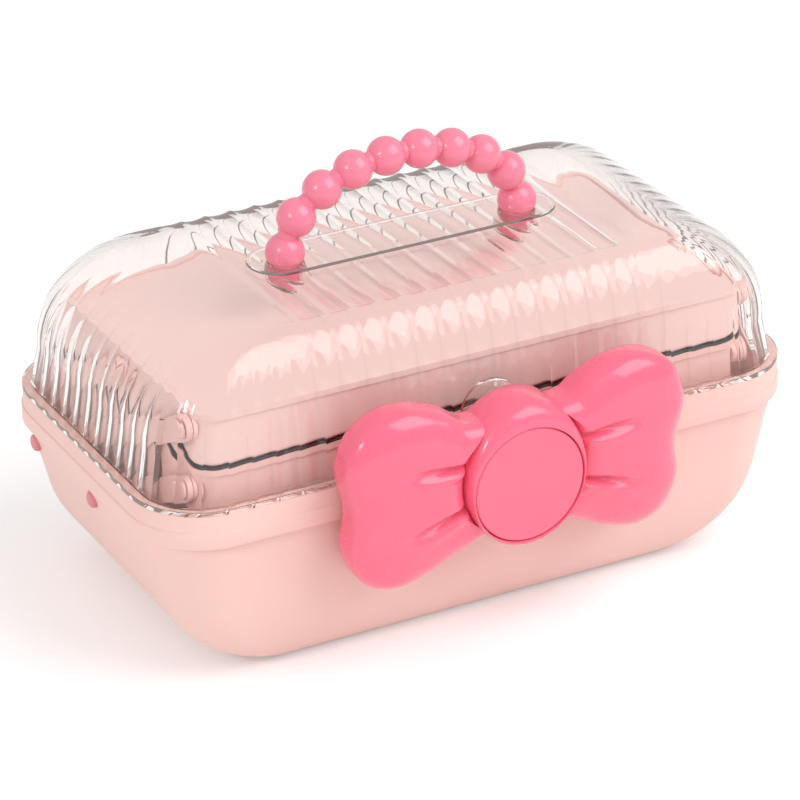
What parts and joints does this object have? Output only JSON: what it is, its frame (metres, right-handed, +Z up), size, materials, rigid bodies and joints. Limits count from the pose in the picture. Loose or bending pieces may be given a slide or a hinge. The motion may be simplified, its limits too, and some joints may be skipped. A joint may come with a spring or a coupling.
{
  "type": "makeup storage case",
  "caption": "Rounded carrying case for make-up with a clear domed lid, beaded handle, swing-out trays and a push-button bow catch.",
  "frame": {"origin": "middle of the flat underside of the tub", "axes": "+X to the user's right, along the length; -Y is the front with the bow; +Z up"},
  "size_m": [0.281, 0.1831, 0.1781],
  "materials": {
    "shell_pink": "soft satin moulded",
    "tray_pink": "satin moulded",
    "pin_pink": "satin",
    "lid_clear": "clear, fluted",
    "bead_pink": "gloss",
    "bow_pink": "gloss",
    "inner_white": "plain moulded",
    "steel": "plain"
  },
  "bodies": {
    "case": {"tub": "shell_pink", "hinge_pins": "steel", "tub_pivot_pins": "pin_pink", "bow_shell": "bow_pink", "bow_back_plate": "inner_white", "bow_screws": "steel", "button_spring": "steel", "hook_pin": "steel"},
    "lid": {"lid": "lid_clear", "handle": "bead_pink", "handle_screws": "steel"},
    "button": {"latch_button": "bow_pink"},
    "hook": {"latch_hook": "inner_white"},
    "long_arms": {"long_arm_left": "tray_pink", "long_arm_right": "tray_pink"},
    "lower_arms": {"lower_arm_left": "tray_pink", "lower_arm_right": "tray_pink"},
    "lower_tray": {"lower_tray": "tray_pink", "lower_tray_dividers": "tray_pink", "lower_tray_pins": "pin_pink"},
    "upper_arms": {"upper_arm_left": "tray_pink", "upper_arm_right": "tray_pink"},
    "upper_tray": {"upper_tray": "tray_pink", "upper_tray_cover": "tray_pink", "upper_tray_pins": "pin_pink"}
  },
  "joints": [
    {"name": "lid_open", "type": "hinge", "parent": "case", "child": "lid", "pos_m": [0, 0.0793, 0.078], "axis": [-1, 0, 0], "range_deg": [0, 120]},
    {"name": "long_arms_swing", "type": "hinge", "parent": "case", "child": "long_arms", "pos_m": [0, 0.0504, 0.0556], "axis": [-1, 0, 0], "range_deg": [0, 48]},
    {"name": "lower_tray_level", "type": "hinge", "parent": "long_arms", "child": "lower_tray", "pos_m": [0, -0.002, 0.0811], "axis": [-1, 0, 0], "range_deg": [-48, 0]},
    {"name": "upper_tray_level", "type": "hinge", "parent": "long_arms", "child": "upper_tray", "pos_m": [0, -0.0544, 0.1066], "axis": [-1, 0, 0], "range_deg": [-48, 0]},
    {"name": "lower_arms_swing", "type": "hinge", "parent": "case", "child": "lower_arms", "pos_m": [0, -0.002, 0.0556], "axis": [-1, 0, 0], "range_deg": [0, 48]},
    {"name": "upper_arms_swing", "type": "hinge", "parent": "lower_tray", "child": "upper_arms", "pos_m": [0, 0.0504, 0.0811], "axis": [-1, 0, 0], "range_deg": [0, 48]},
    {"name": "button_press", "type": "slide", "parent": "case", "child": "button", "axis": [0, 1, 0], "range_m": [0, 0.003], "stiffness_N_per_m": 500, "springref_m": -0.002, "deforming": ["button_spring"]},
    {"name": "hook_rock", "type": "hinge", "parent": "case", "child": "hook", "pos_m": [0, -0.0864, 0.064], "axis": [1, 0, 0], "range_deg": [0, 18]}
  ],
  "couplings": [
    {"joint": "long_arms_swing", "follows": "lid_open", "ratio": 0.4},
    {"joint": "lower_tray_level", "follows": "lid_open", "ratio": -0.4},
    {"joint": "upper_tray_level", "follows": "lid_open", "ratio": -0.4},
    {"joint": "lower_arms_swing", "follows": "lid_open", "ratio": 0.4},
    {"joint": "upper_arms_swing", "follows": "lid_open", "ratio": 0.4},
    {"joint": "hook_rock", "follows": "button_press", "rad_per_m": 90}
  ]
}
